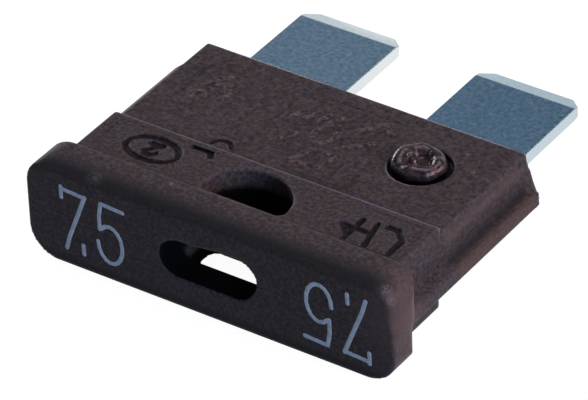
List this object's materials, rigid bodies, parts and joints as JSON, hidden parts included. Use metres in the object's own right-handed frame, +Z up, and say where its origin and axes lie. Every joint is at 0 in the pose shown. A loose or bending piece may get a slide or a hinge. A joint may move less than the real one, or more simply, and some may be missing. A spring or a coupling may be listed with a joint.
{
  "type": "automotive blade fuse",
  "caption": "Regular plug-in blade fuse: a flat brown moulded housing with a head bar, a slot and a test window, and a stamped metal element with two flat blades.",
  "frame": {"origin": "middle of the outer box in X and Y, on the surface the fuse lies on", "axes": "+X along the head bar across both blades, +Y from the head bar to the blade tips, +Z up through the thickness"},
  "size_m": [0.019, 0.0188, 0.0051],
  "materials": {
    "housing_plastic": "semi-gloss moulded brown plastic with a fine mottled skin",
    "element_metal": "satin plated zinc strip with bright coined bevels and cut edges"
  },
  "bodies": {
    "root": {"housing": "housing_plastic", "fuse_element": "element_metal"}
  },
  "joints": []
}
